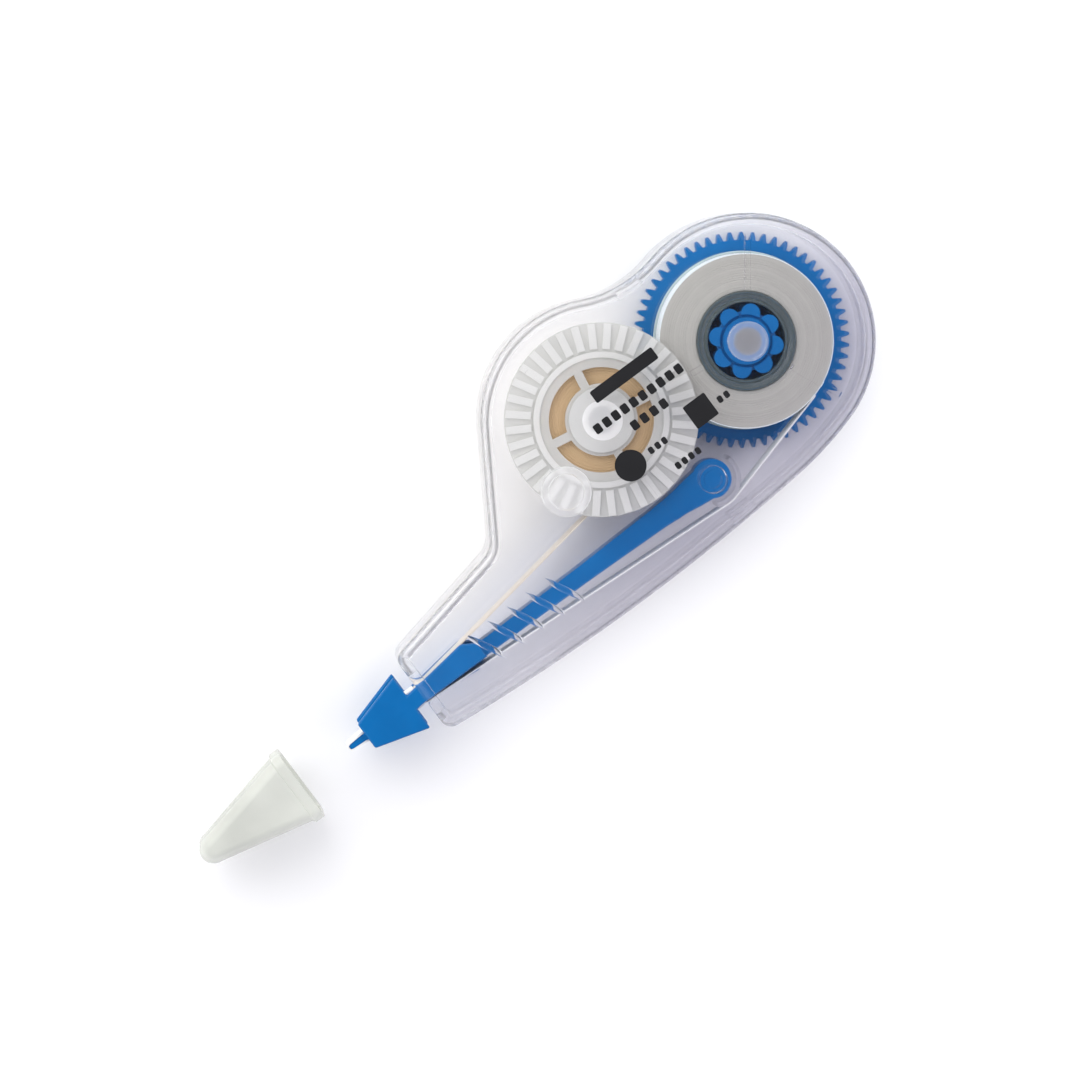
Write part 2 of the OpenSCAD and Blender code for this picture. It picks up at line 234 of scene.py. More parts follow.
def bake(obj):
    """Replaces the object's mesh with the result of its modifiers."""
    graph = bpy.context.evaluated_depsgraph_get()
    graph.update()
    mesh = bpy.data.meshes.new_from_object(obj.evaluated_get(graph))
    obj.modifiers.clear()
    old, obj.data = obj.data, mesh
    bpy.data.meshes.remove(old)
    return obj


def combine(obj, others, operation):
    """UNION, DIFFERENCE or INTERSECT of obj with each of the others, which are used up."""
    for other in others:
        mod = obj.modifiers.new("Boolean", "BOOLEAN")
        mod.operation = operation
        mod.solver = "MANIFOLD"
        mod.object = other
        bake(obj)
        bpy.data.objects.remove(other)
    return obj


def finish_edges(obj, radius=0.0, segments=2, sharp=32, weighted=True):
    """Rounds the sharp edges by radius millimetres and smooths the shading between them."""
    if radius:
        bevel = obj.modifiers.new("Bevel", "BEVEL")
        bevel.width = radius * MM
        bevel.segments = segments
        bevel.limit_method = "ANGLE"
        bevel.angle_limit = math.radians(sharp)
        bevel.use_clamp_overlap = True
        bake(obj)
    obj.data.shade_smooth()
    obj.data.set_sharp_from_angle(angle=math.radians(sharp))
    if weighted:
        mod = obj.modifiers.new("Normals", "WEIGHTED_NORMAL")
        mod.keep_sharp = True
        bake(obj)
    return obj


def place(obj, body, slot, material, *nodes):
    obj.data.materials.clear()
    obj.data.materials.append(material)
    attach(obj, body)
    if nodes:
        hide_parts(*nodes)
    return obj


# ---- materials -------------------------------------------------------------------------------


class Shader:
    """A material with a Principled shader and short ways to feed it from object coordinates."""

    def __init__(self, name, colour, roughness=0.4, **sockets):
        self.material = bpy.data.materials.new(name)
        self.material.use_nodes = True
        self.tree = self.material.node_tree
        self.bsdf = self.tree.nodes["Principled BSDF"]
        self.bsdf.inputs["Base Color"].default_value = (*colour, 1)
        self.bsdf.inputs["Roughness"].default_value = roughness
        for key, value in sockets.items():
            self.bsdf.inputs[key.replace("_", " ")].default_value = value
        self.coords = self.tree.nodes.new("ShaderNodeTexCoord").outputs["Object"]
        self.height = None

    def node(self, kind, links=(), **values):
        node = self.tree.nodes.new(kind)
        for key, value in values.items():
            if hasattr(node, key):
                setattr(node, key, value)
            else:
                node.inputs[key].default_value = value
        for socket, source in dict(links).items():
            self.tree.links.new(source, node.inputs[socket])
        return node

    def noise(self, scale, detail=3.0, stretch=(1, 1, 1), rough=0.5):
        mapping = self.node("ShaderNodeMapping", {"Vector": self.coords}, Scale=stretch)
        return self.node(
            "ShaderNodeTexNoise",
            {"Vector": mapping.outputs[0]},
            Scale=scale, Detail=detail, Roughness=rough,
        ).outputs["Fac"]

    def math(self, operation, a, b=None):
        node = self.tree.nodes.new("ShaderNodeMath")
        node.operation = operation
        for socket, value in zip(node.inputs, (a, b)):
            if value is None:
                continue
            if isinstance(value, (int, float)):
                socket.default_value = value
            else:
                self.tree.links.new(value, socket)
        return node.outputs[0]

    def between(self, factor, low, high):
        """A number from low to high as factor goes from 0 to 1."""
        node = self.node("ShaderNodeMapRange", {"Value": factor})
        node.inputs["To Min"].default_value = low
        node.inputs["To Max"].default_value = high
        return node.outputs[0]

    def tint(self, factor, dark, light, lo=0.3, hi=0.7, top=None):
        """Colour from dark to light as factor goes from lo to hi, and on to top at 1."""
        ramp = self.tree.nodes.new("ShaderNodeValToRGB")
        ramp.color_ramp.elements[0].position = lo
        ramp.color_ramp.elements[0].color = (*dark, 1)
        ramp.color_ramp.elements[1].position = hi
        ramp.color_ramp.elements[1].color = (*light, 1)
        if top:
            ramp.color_ramp.elements.new(1.0).color = (*top, 1)
        self.tree.links.new(factor, ramp.inputs[0])
        self.tree.links.new(ramp.outputs[0], self.bsdf.inputs["Base Color"])
        return self

    def roughen(self, factor, low, high):
        self.tree.links.new(self.between(factor, low, high), self.bsdf.inputs["Roughness"])
        return self

    def bump(self, height, distance_mm, strength=1.0):
        node = self.node("ShaderNodeBump", {"Height": height}, Strength=strength,
                         Distance=distance_mm * MM)
        if self.height is not None:
            self.tree.links.new(self.height, node.inputs["Normal"])
        self.height = node.outputs[0]
        self.tree.links.new(self.height, self.bsdf.inputs["Normal"])
        return self

    def radius(self, centre):
        """Distance in millimetres from the vertical axis at centre."""
        parts = self.node("ShaderNodeSeparateXYZ", {"Vector": self.coords}).outputs
        x = self.math("SUBTRACT", parts[0], centre.x * MM)
        y = self.math("SUBTRACT", parts[1], centre.y * MM)
        square = self.math("ADD", self.math("MULTIPLY", x, x), self.math("MULTIPLY", y, y))
        return self.math("MULTIPLY", self.math("SQRT", square), 1 / MM)


def let_through(s, amount):
    """Mixes the shader with plain transparency, so that thin walls stay light."""
    clear = s.tree.nodes.new("ShaderNodeBsdfTransparent")
    clear.inputs[0].default_value = s.bsdf.inputs["Base Color"].default_value
    for link in s.bsdf.inputs["Base Color"].links:
        s.tree.links.new(link.from_socket, clear.inputs[0])
    mix = s.tree.nodes.new("ShaderNodeMixShader")
    s.tree.links.new(amount, mix.inputs[0])
    s.tree.links.new(clear.outputs[0], mix.inputs[1])
    s.tree.links.new(s.bsdf.outputs[0], mix.inputs[2])
    s.tree.links.new(mix.outputs[0], s.tree.nodes["Material Output"].inputs["Surface"])
    return s.material


def clear_plastic(name, dark, light, rough, wobble, solid, milk=0.0, frosted=(), painted_highlight_rim=None):
    """Clear moulded plastic with faint flow marks, and painted shade: greyer towards its lower long
    side.

    It is rough within each frosted (axis, radius, cloud) and cloudy by that amount, cloudy by milk
    elsewhere, and milky beyond the given rim (axis, radius) as a painted highlight on that edge.
    """
    s = Shader(name, light, rough[0], Transmission_Weight=1.0, IOR=1.49)
    at = s.node("ShaderNodeSeparateXYZ", {"Vector": s.coords}).outputs
    # painted shade: the colour runs from light to dark towards the lower long side
    painted_shade_side = s.math("SUBTRACT", s.math("MULTIPLY", at[0], 0.35), at[1])
    grain = s.between(s.noise(70, 2), 0.4, 0.6)
    s.tint(s.math("ADD", s.math("MULTIPLY", painted_shade_side, 50), grain), light, dark, 0.0, 0.9)
    rougher = s.between(s.noise(900, 3), *rough)
    amount = s.between(s.noise(60, 2), solid - 0.04, solid + 0.04)
    cloud = s.between(s.noise(80, 2), milk * 0.9, milk)
    for centre, r, cloudy in frosted:
        inside = s.math("LESS_THAN", s.radius(centre), r)
        rougher = s.math("MAXIMUM", rougher, s.math("MULTIPLY", inside, FROST))
        cloud = s.math("MAXIMUM", cloud, s.math("MULTIPLY", inside, cloudy))
    # painted highlight: beyond the rim radius the plastic turns milky so its edge shows bright
    if painted_highlight_rim:
        painted_highlight_zone = s.math("GREATER_THAN", s.radius(painted_highlight_rim[0]), painted_highlight_rim[1])
        cloud = s.math("MAXIMUM", cloud, s.math("MULTIPLY", painted_highlight_zone, 0.9))
    s.tree.links.new(rougher, s.bsdf.inputs["Roughness"])
    s.tree.links.new(s.math("SUBTRACT", 1.0, cloud), s.bsdf.inputs["Transmission Weight"])
    s.bump(s.noise(90, 2, (1, 1, 0.3)), wobble)
    return let_through(s, amount)


def milky_plastic(name, dark, light, roughness, opacity, raised=None):
    """Milky plastic that shows part of what is behind it; raised is (z, opacity above z)."""
    s = Shader(name, light, roughness)
    s.tint(s.noise(160, 3), dark, light)
    s.bump(s.noise(2500, 2), 0.005)
    amount = s.between(s.noise(240, 2), opacity - 0.04, opacity + 0.04)
    if raised:
        z = s.node("ShaderNodeSeparateXYZ", {"Vector": s.coords}).outputs[2]
        above = s.math("GREATER_THAN", z, raised[0] * MM)
        amount = s.math("MAXIMUM", amount, s.math("MULTIPLY", above, raised[1]))
    return let_through(s, amount)


def moulded_plastic(name, dark, light, rough=(0.25, 0.4), grain=0.004, **sockets):
    """Opaque moulded plastic: soft variation of colour and a very fine grain."""
    s = Shader(name, light, rough[0], **sockets)
    s.tint(s.noise(140, 4), dark, light)
    s.roughen(s.noise(1600, 3), *rough)
    s.bump(s.noise(6000, 2), grain)
    return s.material


def wound_tape(name, centre, dark, light, pitch_mm, outer_r, edge):
    """The side of a roll of tape: fine rings of uneven tone and height, and a painted highlight on
    the last turn in the edge colour.
    """
    s = Shader(name, light, 0.6)
    r = s.radius(centre)
    turns = s.node("ShaderNodeCombineXYZ", {"X": r})
    band = s.node("ShaderNodeTexNoise", {"Vector": turns.outputs[0]}, Scale=1 / pitch_mm,
                  Detail=4.0, Roughness=0.7).outputs["Fac"]
    fleck = s.noise(700, 2)
    tone = s.math("ADD", s.math("MULTIPLY", band, 0.8), s.math("MULTIPLY", fleck, 0.2))
    # painted highlight: the outermost turn takes the bright edge colour
    s.tint(s.math("MAXIMUM", tone, s.math("GREATER_THAN", r, outer_r - 0.1)), dark, light,
           0.25, 0.75, edge)
    s.bump(band, 0.05)
    s.roughen(fleck, 0.5, 0.7)
    return s.material


def film(name, dark, light, rough):
    """A thin tape: faint lengthwise streaks."""
    s = Shader(name, light, rough)
    s.tint(s.noise(300, 3, (0.1, 0.1, 4)), dark, light)
    s.bump(s.noise(500, 2, (0.2, 0.2, 3)), 0.01)
    return s.material


FROST = 0.4
# the casing's darker lilac colour is painted shade towards its lower long side
CLEAR = clear_plastic("clear_casing", (0.865, 0.855, 0.895), (0.995, 0.995, 1.0), (0.01, 0.03),
                      0.008, 0.9, frosted=((SUPPLY, 2.2, 0.07), (TAKEUP, 2.2, 0.2),
                                           (GUIDE, 2.75, 0.1)))
CLEAR_CAP = milky_plastic("clear_cap", (0.80, 0.81, 0.77), (0.88, 0.89, 0.85), 0.25, 0.5)
# the core's darker colour is painted shade towards its lower long side, and its flange edge beyond
# the roll is milky as a painted highlight
CLEAR_CORE = clear_plastic("clear_core", (0.60, 0.74, 0.75), (0.64, 0.78, 0.78), (0.03, 0.08),
                           0.01, 0.85, milk=0.15, painted_highlight_rim=(SUPPLY, ROLL_R + 0.02))
CLEAR_SLEEVE = milky_plastic("clear_sleeve", (0.8, 0.8, 0.8), (0.86, 0.86, 0.86), 0.2, 0.5)
BLUE = moulded_plastic("blue_plastic", (0.0008, 0.115, 0.345), (0.0010, 0.145, 0.42),
                       Specular_IOR_Level=0.25)
WHITE = moulded_plastic("white_plastic", (0.78, 0.78, 0.77), (0.84, 0.84, 0.83), (0.3, 0.45),
                        Subsurface_Weight=0.3, Subsurface_Scale=0.002)
FLANGE = milky_plastic("milky_flange", (0.79, 0.79, 0.77), (0.84, 0.84, 0.82), 0.3, 0.55,
                       (FLANGE_Z1 - 0.25, 0.75))
# the edge colours are painted highlights on each roll's last turn
ROLL = wound_tape("correction_tape_side", SUPPLY, (0.35, 0.345, 0.32), (0.48, 0.47, 0.435), 0.35,
                  ROLL_R, (0.78, 0.84, 0.86))
USED = wound_tape("used_tape_side", TAKEUP, (0.50, 0.33, 0.17), (0.66, 0.47, 0.27), 0.3,
                  USED_R, (0.70, 0.52, 0.33))
LINER = film("liner_tape", (0.66, 0.57, 0.46), (0.76, 0.68, 0.57), 0.3)
FILM = film("white_film", (0.80, 0.80, 0.79), (0.87, 0.87, 0.86), 0.55)
INK = moulded_plastic("print_ink", (0.006, 0.006, 0.007), (0.013, 0.013, 0.015), (0.45, 0.6),
                      Specular_IOR_Level=0.25)


# ---- casing ----------------------------------------------------------------------------------

EDGE_R = 1.1
EDGE_STEPS = 7
FILLET_R, FILLET_STEPS = 0.1, 3
LAP_T, LAP_H, FIT = 0.6, 0.9, 0.05
PARTING = 0.04
SLOT_W, SLOT_Z0, SLOT_Z1 = 5.2, 2.4, 9.8
SNAPS = [Vector((-7.1, 12.15)), Vector((-11.5, -14.43))]
SNAP_L, SNAP_T = 3.0, 0.6
AXLE_R, SOCKET_R, PIN_R, EYE_R, ARC_GUIDE_R = 1.5, 2.15, 1.1, 2.2, 3.2
ARC_GUIDE_T, ARC_GUIDE_A0, ARC_GUIDE_A1 = 0.5, -114, 14
GUIDE_POST_R = 1.2
GUIDE_SEAT_R0, GUIDE_SEAT_R1, GUIDE_SEAT_H = 1.9, 2.8, 0.25
GEAR_HUB_R = 2.6
EYE_ROOF = 0.6
GEAR_Z = box_mm("supply_gear")[0][2]
SINK = 0.02
RIB_T = 0.6
SUPPLY_RIBS = ((53.5, 5.65, 11.8), (-66.5, 5.65, 11.8), (173.5, 5.65, 7.2))
TAKEUP_RIBS = ((111.5, 7.2, 9.9), (-88.5, 7.7, 17))


def ring_at(t, z):
    return [(p.x, p.y, z) for p in outline(t)]


def outer_half(name, z_from, z_to):
    """A slab of the outline whose face at z_to has a rounded edge."""
    sign = 1 if z_to > z_from else -1
    rings = [ring_at(0, z_from)]
    for i in range(EDGE_STEPS + 1):
        a = math.pi / 2 * i / EDGE_STEPS
        rings.append(ring_at(EDGE_R * (1 - math.cos(a)), z_to - sign * EDGE_R * (1 - math.sin(a))))
    rings.append(ring_at(EDGE_R + 0.06, z_to))
    return loft(name, rings)


def inner_space(z_from, z_to):
    """The room inside one half, with a small fillet where the wall meets the plate."""
    sign = 1 if z_to > z_from else -1
    rings = [ring_at(WALL, z_from)]
    for i in range(FILLET_STEPS + 1):
        a = math.pi / 2 * i / FILLET_STEPS
        rings.append(ring_at(WALL + FILLET_R * (1 - math.cos(a)),
                             z_to - sign * FILLET_R * (1 - math.sin(a))))
    return loft("space", rings)


def nose_slot():
    half = SLOT_W / 2
    return block("slot", (-NOSE_X - 1, AXIS_Y - half, SLOT_Z0),
                 (-NOSE_X + WALL + 1, AXIS_Y + half, SLOT_Z1))


def snaps(grow, z0, z1):
    """Blocks as large as the snap tabs, grown by grow for their pockets."""
    half = Vector((SNAP_L / 2 + grow, SNAP_T / 2 + grow))
    return [block("snap", (*(p - half), z0), (*(p + half), z1)) for p in SNAPS]


def tube(name, centre, r_in, r_out, z0, z1, chamfer=0.12):
    c = chamfer
    return lathe(name, centre, [(r_in, z0), (r_out - c, z0), (r_out, z0 + c), (r_out, z1 - c),
                                (r_out - c, z1), (r_in, z1)], 72)


def back_casing():
    half = outer_half("casing_back", PART_Z, 0)
    combine(half, [prism("lap", outline(LAP_T + FIT), PART_Z - SINK, PART_Z + LAP_H)], "UNION")
    space = inner_space(PART_Z + 2, WALL)
    combine(half, [space, nose_slot()] + snaps(0.1, PART_Z - 1.2, PART_Z + 2), "DIFFERENCE")
    posts = []  # discs and the arc guide, all standing on the back plate
    for centre in (SUPPLY, TAKEUP):
        posts.append(disc("boss", centre, GEAR_HUB_R, WALL - SINK, GEAR_Z - FIT))
        posts.append(disc("axle", centre, AXLE_R, WALL - SINK, FRONT_IN_Z - 0.3))
    posts.append(disc("post", GUIDE, GUIDE_POST_R, WALL - SINK, TAPE_Z1))
    posts.append(disc("shoulder", GUIDE, GUIDE_POST_R + 0.4, CORE_Z0 + SINK, TAPE_Z0 - FIT))
    posts.append(disc("stand", EYE, EYE_R - 0.2, WALL - SINK, ARM_Z0 - FIT))
    posts.append(disc("pin", EYE, PIN_R, WALL - SINK, ARM_Z1 - EYE_ROOF - FIT))
    guide = (arc(EYE, ARC_GUIDE_R, ARC_GUIDE_A0, ARC_GUIDE_A1, 24)
             + arc(EYE, ARC_GUIDE_R - ARC_GUIDE_T, ARC_GUIDE_A1, ARC_GUIDE_A0, 24))
    posts.append(prism("arc_guide", guide, WALL - SINK, TAPE_Z1))
    combine(half, posts, "UNION")
    return finish_edges(half)


RIDGES, RIDGE_STEP = 5, 2.63
RIDGE_START = Vector((-33.5, -7.6))
RIDGE_A, RIDGE_L, RIDGE_W, RIDGE_H = -63.5, 5.0, 0.75, 0.18


def ridge(start):
    """A grip ridge: a low round bar whose ends run out into the face."""
    u = direction(RIDGE_A)
    v = Vector((-u.y, u.x))
    rings = []
    for k in range(9):
        along = k / 8
        rise = math.sin(math.pi * min(max(along, 0.02), 0.98)) ** 0.5
        base = start + u * (RIDGE_L * along)
        ring = []
        for i in range(13):
            a = math.pi * i / 12
            side = base + v * (RIDGE_W / 2 * math.cos(a) * (0.3 + 0.7 * rise))
            ring.append((side.x, side.y, CASE_H - SINK + RIDGE_H * rise * math.sin(a)))
        low = base + v * (-RIDGE_W / 2 * (0.3 + 0.7 * rise))
        high = base + v * (RIDGE_W / 2 * (0.3 + 0.7 * rise))
        ring.append((low.x, low.y, CASE_H - 0.2))
        ring.append((high.x, high.y, CASE_H - 0.2))
        rings.append(ring)
    return loft("ridge", rings)


def front_casing():
    half = outer_half("casing_front", PART_Z + PARTING, CASE_H)
    space = inner_space(PART_Z - 1, FRONT_IN_Z)
    lap = prism("lap", outline(LAP_T), PART_Z - 1, PART_Z + LAP_H + FIT)
    combine(half, [space, lap, nose_slot()], "DIFFERENCE")
    top = FRONT_IN_Z + SINK
    parts = snaps(0, PART_Z - 1.1, FRONT_IN_Z + 0.1)
    parts.append(tube("socket", SUPPLY, AXLE_R + FIT, SOCKET_R, FLANGE_Z0 + 0.1, top))
    parts.append(tube("socket", TAKEUP, AXLE_R + FIT, SOCKET_R, FLANGE_Z1 + 0.1, top))
    parts.append(tube("boss", EYE, PIN_R - 0.1, EYE_R - 0.6, ARM_Z1 + FIT, top))
    for a, r0, r1 in SUPPLY_RIBS:
        parts.append(bar("rib", SUPPLY, a, r0, r1, RIB_T, FLANGE_Z0 + 0.1, top))
    for a, r0, r1 in TAKEUP_RIBS:
        parts.append(bar("rib", TAKEUP, a, r0, r1, RIB_T, FLANGE_Z1 + 0.15, top))
    seat_z, seat_top = CASE_H + 0.12, CASE_H + GUIDE_SEAT_H
    parts.append(lathe("seat", GUIDE, [
        (GUIDE_SEAT_R0, CASE_H - SINK), (GUIDE_SEAT_R1, CASE_H - SINK), (GUIDE_SEAT_R1, seat_z),
        (GUIDE_SEAT_R1 - 0.15, seat_top), (GUIDE_SEAT_R0 + 0.15, seat_top),
        (GUIDE_SEAT_R0, seat_z)]))
    parts += [ridge(RIDGE_START - Vector((RIDGE_STEP * i, 0))) for i in range(RIDGES)]
    combine(half, parts, "UNION")
    return finish_edges(half)


casing_back = place(back_casing(), "casing", "clear_casing", CLEAR, "back_shell")
casing_front = place(front_casing(), "casing", "clear_casing", CLEAR, "front_shell")


# ---- reels -----------------------------------------------------------------------------------


def chamfered(r_in, r_out, z0, z1, c):
    return [(r_in + c, z0), (r_out - c, z0), (r_out, z0 + c), (r_out, z1 - c), (r_out - c, z1),
            (r_in + c, z1), (r_in, z1 - c), (r_in, z0 + c)]


def roll_profile(r_in, r_out, z0, z1, turns, depth):
    """A wound roll: its two sides ripple a little from turn to turn."""
    steps = turns * 2
    radii = [r_in + (r_out - r_in) * i / steps for i in range(steps + 1)]
    top = [(r, z1 - depth * (i % 2) * (1 + math.sin(i * 1.7)) / 2) for i, r in enumerate(radii)]
    low = [(r, z0 + depth * (i % 2)) for i, r in enumerate(radii)]
    return low + top[::-1]


CORE_BORE_R = 4.25
CLUTCH_LOBES, CLUTCH_LOBE_R = 8, 1.05


def clutch():
    """Blue hub whose springy lobes rub in the supply core."""
    low, high = box_mm("clutch_hub")
    z1 = high[2]
    body = disc("clutch", SUPPLY, GEAR_HUB_R + 0.7, low[2], z1 - 0.35)
    lobes = []
    for i in range(CLUTCH_LOBES):
        u = direction(360 / CLUTCH_LOBES * i)
        centre = SUPPLY + (CORE_BORE_R - 0.1 - CLUTCH_LOBE_R) * u
        lobes.append(disc("lobe", centre, CLUTCH_LOBE_R, low[2], z1, 40))
    combine(body, lobes, "UNION")
    dish = lathe("dish", SUPPLY, [(0.5, z1 - 0.35), (2.75, z1 - 0.35), (3.0, z1 + 0.1),
                                  (0.5, z1 + 0.1)], 72)
    combine(body, [dish], "DIFFERENCE")
    combine(body, [disc("bore", SUPPLY, GEAR_HUB_R, 0, CASE_H)], "DIFFERENCE")
    return finish_edges(body, 0.1)


place(clutch(), "drive", "blue_plastic", BLUE, "clutch_hub")

CORE_R = 5.55
CORE_FLANGE_R = ROLL_R + 0.25
CORE_FLANGE_H = 0.5
core = lathe("core", SUPPLY, [
    (CORE_BORE_R + 0.1, CORE_Z0), (CORE_FLANGE_R - 0.15, CORE_Z0),
    (CORE_FLANGE_R, CORE_Z0 + 0.15), (CORE_FLANGE_R, CORE_Z0 + CORE_FLANGE_H - 0.1),
    (CORE_FLANGE_R - 0.1, CORE_Z0 + CORE_FLANGE_H), (CORE_R, CORE_Z0 + CORE_FLANGE_H),
    (CORE_R, CORE_Z1 - 0.2), (CORE_R - 0.15, CORE_Z1), (CORE_R - 0.3, CORE_Z1),
    (CORE_R - 0.5, CORE_Z1 - 0.25), (CORE_BORE_R + 0.45, CORE_Z1 - 0.35),
    (CORE_BORE_R + 0.25, CORE_Z1 - 0.1), (CORE_BORE_R + 0.1, CORE_Z1 - 0.1),
    (CORE_BORE_R, CORE_Z1 - 0.25), (CORE_BORE_R, CORE_Z0 + 0.1)])
place(finish_edges(core, sharp=50), "supply_reel", "clear_core", CLEAR_CORE, "supply_core")

roll = lathe("tape_roll", SUPPLY, roll_profile(CORE_R + 0.02, ROLL_R, TAPE_Z0, TAPE_Z1, 34, 0.03))
place(finish_edges(roll, weighted=False), "supply_reel", "correction_tape", ROLL,
      "correction_tape_roll")

HUB_R = 3.62
used = lathe("used_roll", TAKEUP, roll_profile(HUB_R, USED_R, TAPE_Z0, TAPE_Z1, 20, 0.03))
place(finish_edges(used, weighted=False), "takeup_reel", "liner_tape", USED, "used_tape_roll")

sleeve_low, sleeve_high = box_mm("guide_roller")
sleeve = lathe("guide_sleeve", GUIDE, chamfered(GUIDE_POST_R + FIT, sleeve_high[0] - GUIDE.x,
                                                sleeve_low[2], sleeve_high[2], 0.12))
place(finish_edges(sleeve), "guide", "clear_core", CLEAR_SLEEVE, "guide_roller")


# ---- applicator ------------------------------------------------------------------------------

HEAD_Z0, HEAD_Z1 = box_mm("applicator_head")[0][2], box_mm("applicator_head")[1][2]
HEAD_X0 = box_mm("applicator_head")[0][0]
TAIL_X = box_mm("applicator_head")[1][0]
WEDGE_X = -NOSE_X - 1.4
FRONT_X = HEAD_X0 - 0.3 + 2.8
PLATE_H = 0.8
WEB_W = 1.7


def mirrored(points):
    return ([Vector((x, AXIS_Y + y)) for x, y in points]
            + [Vector((x, AXIS_Y - y)) for x, y in points[::-1]])


def arm():
    """Flexible arm: a round eye that narrows to a bar, with a peg in the head's socket."""
    edge = [(EYE.x - 0.9, 1.9), (-14.5, 1.75), (-16.5, 1.45), (-19.5, 1.25), (-26, 1.08),
            (-30, 0.98), (TAIL_X, 0.85)]
    body = prism("arm", mirrored(edge[::-1]), ARM_Z0, ARM_Z1)
    combine(body, [disc("eye", EYE, EYE_R, ARM_Z0, ARM_Z1)], "UNION")
    combine(body, [disc("bore", EYE, PIN_R + FIT, 0, ARM_Z1 - EYE_ROOF)], "DIFFERENCE")
    combine(body, [block("peg", (TAIL_X - 2.9, AXIS_Y - 0.38, MID_Z - 0.98),
                         (TAIL_X + 0.2, AXIS_Y + 0.38, MID_Z + 0.98))], "UNION")
    return finish_edges(body, 0.25, 3)


place(arm(), "applicator", "blue_plastic", BLUE, "applicator_arm")

TAIL_W, NECK_W, HEAD_W, FRONT_W, NIB_W = 4.0, 1.9, 6.9, 3.3, 0.8
PLATE = [(TAIL_X, TAIL_W / 2 - 1), (TAIL_X - 1.6, TAIL_W / 2), (WEDGE_X, NECK_W / 2),
         (WEDGE_X, HEAD_W / 2), (FRONT_X, FRONT_W / 2)]
WEB = [(TAIL_X, WEB_W / 2), (FRONT_X + 1.5, WEB_W / 2), (FRONT_X, NIB_W / 2),
       (HEAD_X0 + 0.55, 0.28), (HEAD_X0 + 0.28, 0.2)]


def along_axis(points):
    return [Vector((x, AXIS_Y + y)) for x, y in points]


def head():
    """Applicator head: two side plates and a web that thins to the nib.

    The front plate stops short over the tail's lower side, where the fresh tape is threaded.
    """
    body = prism("head", mirrored(WEB), HEAD_Z0 + 0.4, HEAD_Z1 - 0.4)
    open_side = [(FRONT_X, -FRONT_W / 2), (WEDGE_X, -HEAD_W / 2), (WEDGE_X, -NECK_W / 2),
                 (WEDGE_X + 1.0, -WEB_W / 2 + 0.05), (TAIL_X, -WEB_W / 2 + 0.05)]
    low = prism("plate", mirrored(PLATE), HEAD_Z0, HEAD_Z0 + PLATE_H)
    high = prism("plate", along_axis(PLATE + open_side), HEAD_Z1 - PLATE_H, HEAD_Z1)
    finish_edges(low, 0.22, 3, weighted=False)
    finish_edges(high, 0.22, 3, weighted=False)
    combine(body, [low, high], "UNION")
    nib_cut = [block("cut", (HEAD_X0 - 1, AXIS_Y - 2, z0), (FRONT_X - 0.25, AXIS_Y + 2, z1))
               for z0, z1 in ((0, TAPE_Z0 - 0.1), (TAPE_Z1 - 0.1, CASE_H))]
    combine(body, nib_cut, "DIFFERENCE")
    combine(body, [block("socket", (TAIL_X - 3, AXIS_Y - 0.4, MID_Z - 1),
                         (TAIL_X + 1, AXIS_Y + 0.4, MID_Z + 1))], "DIFFERENCE")
    return finish_edges(body)


place(head(), "applicator", "blue_plastic", BLUE, "applicator_head")


# ---- tape ------------------------------------------------------------------------------------

TAPE_T = 0.12
NIB_TAPE_T = 0.2


def ribbon(name, path, side, thick=TAPE_T):
    """A tape along a path in the plane, its thickness towards side (1 left, -1 right)."""
    left = []
    for i, p in enumerate(path):
        u = (path[min(i + 1, len(path) - 1)] - path[max(i - 1, 0)]).normalized()
        left.append(p + side * thick * Vector((-u.y, u.x)))
    rings = [[(a.x, a.y, TAPE_Z0), (b.x, b.y, TAPE_Z0), (b.x, b.y, TAPE_Z1), (a.x, a.y, TAPE_Z1)]
             for a, b in zip(path, left)]
    return loft(name, rings)


def straight(a, b, steps):
    return [a.lerp(b, i / steps) for i in range(steps + 1)]


def tangent_angle(centre, r, point):
    """Angle at centre of the touching point of the line from point, on its lower side."""
    return angle(point - centre) + math.degrees(math.acos(r / (point - centre).length))


TOUCH = 0.03
guide_r = ARC_GUIDE_R + TOUCH
neck_low = Vector((WEDGE_X + 1, AXIS_Y - WEB_W / 2 - TOUCH))
neck_high = Vector((WEDGE_X + 1, AXIS_Y + WEB_W / 2 + TOUCH))
roll_touch_a = angle(EYE - SUPPLY) + math.degrees(
    math.acos((ROLL_R + TOUCH - guide_r) / (EYE - SUPPLY).length))
guide_touch_a = tangent_angle(EYE, guide_r, neck_low)
feed_path = (straight(neck_low, EYE + guide_r * direction(guide_touch_a), 24)
             + arc(EYE, guide_r, guide_touch_a, roll_touch_a, 8)[1:]
             + straight(EYE + guide_r * direction(roll_touch_a),
                        SUPPLY + (ROLL_R + TOUCH) * direction(roll_touch_a), 8)[1:])


def span(obj, material, node):
    """A free run of tape: smoothed, given its material and baked in place, its CAD node hidden."""
    finish_edges(obj, weighted=False)
    obj.data.materials.append(material)
    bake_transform(obj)
    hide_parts(node)


span(ribbon("feed_run", feed_path, -1),
     FILM, "feed_tape")

reach = TAKEUP - neck_high
used_touch_a = angle(reach) - 90 - math.degrees(math.asin((USED_R + TOUCH) / reach.length))
used_touch = TAKEUP + (USED_R + TOUCH) * direction(used_touch_a)
span(ribbon("return_run", straight(neck_high, used_touch, 24), -1),
     LINER, "return_tape")


def nib_tape():
    """White tape along both sides of the web and round the nib's edge."""
    upper = [neck_high] + [Vector((x, AXIS_Y + y + TOUCH)) for x, y in WEB[1:]]
    upper.append(Vector((HEAD_X0 + 0.2, AXIS_Y)))
    lower = [Vector((p.x, 2 * AXIS_Y - p.y)) for p in upper[-2::-1]]
    return ribbon("nib_tape", upper + lower, -1, NIB_TAPE_T)


place(finish_edges(nib_tape(), weighted=False), "applicator", "white_film", FILM, "tip_tape")


# ---- cap -------------------------------------------------------------------------------------

